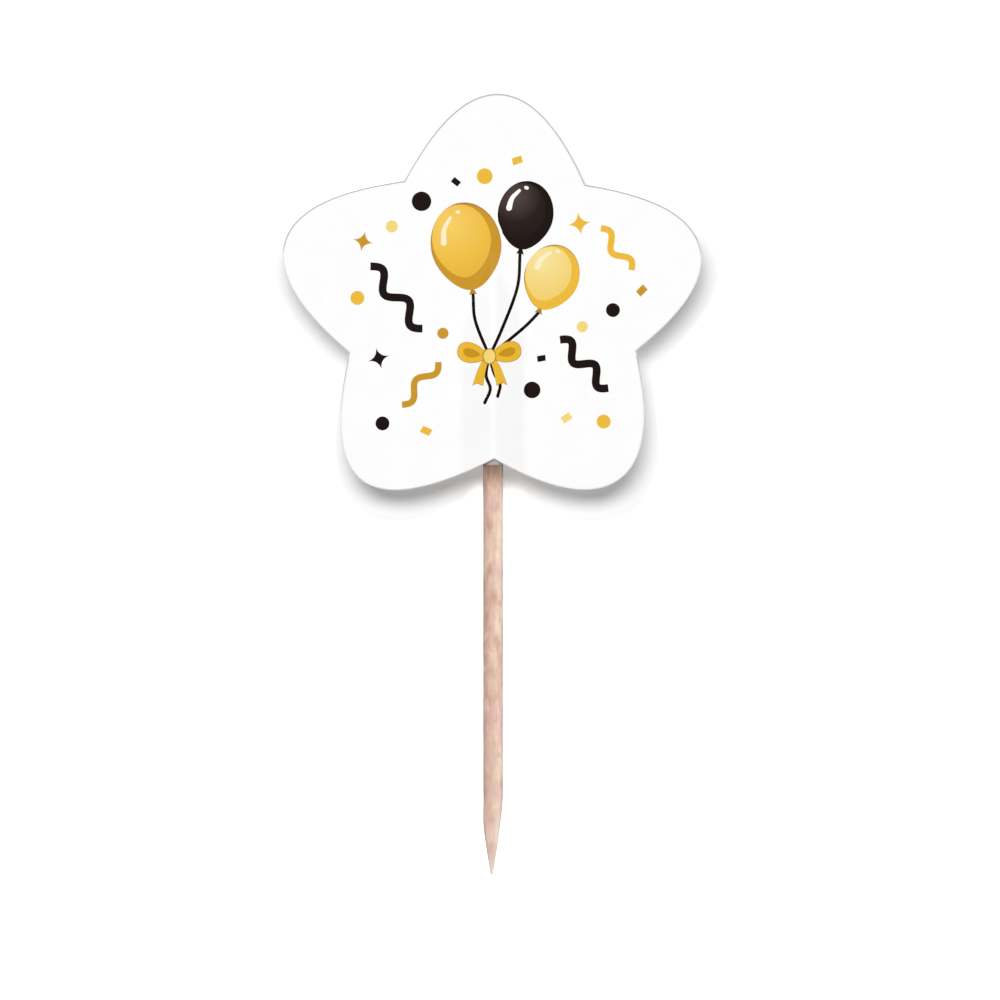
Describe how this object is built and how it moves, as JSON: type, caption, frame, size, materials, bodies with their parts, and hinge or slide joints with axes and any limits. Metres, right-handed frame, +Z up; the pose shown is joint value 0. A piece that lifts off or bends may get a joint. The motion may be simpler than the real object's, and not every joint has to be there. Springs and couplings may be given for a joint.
{
  "type": "cupcake pick",
  "caption": "Rounded star of two printed card layers stuck round a pointed wooden pick, pushed upright into a cupcake as decoration.",
  "frame": {"origin": "the lower point of the pick", "axes": "+Z up along the pick's axis, +X to the right seen from the printed side, which faces -Y"},
  "size_m": [0.0448, 0.003, 0.0839],
  "materials": {
    "printed_card": "smooth coated white label card with a print in black and golds, satin",
    "plain_card": "smooth coated white label card, unprinted, satin",
    "adhesive": "thin clear layer of acrylic adhesive, slightly yellow at its edge",
    "wood": "bare birch, pinkish beige, matt, with fine grain and small darker flecks"
  },
  "bodies": {
    "root": {"front_card": "printed_card", "back_card": "plain_card", "adhesive_film": "adhesive", "toothpick": "wood"}
  },
  "joints": []
}
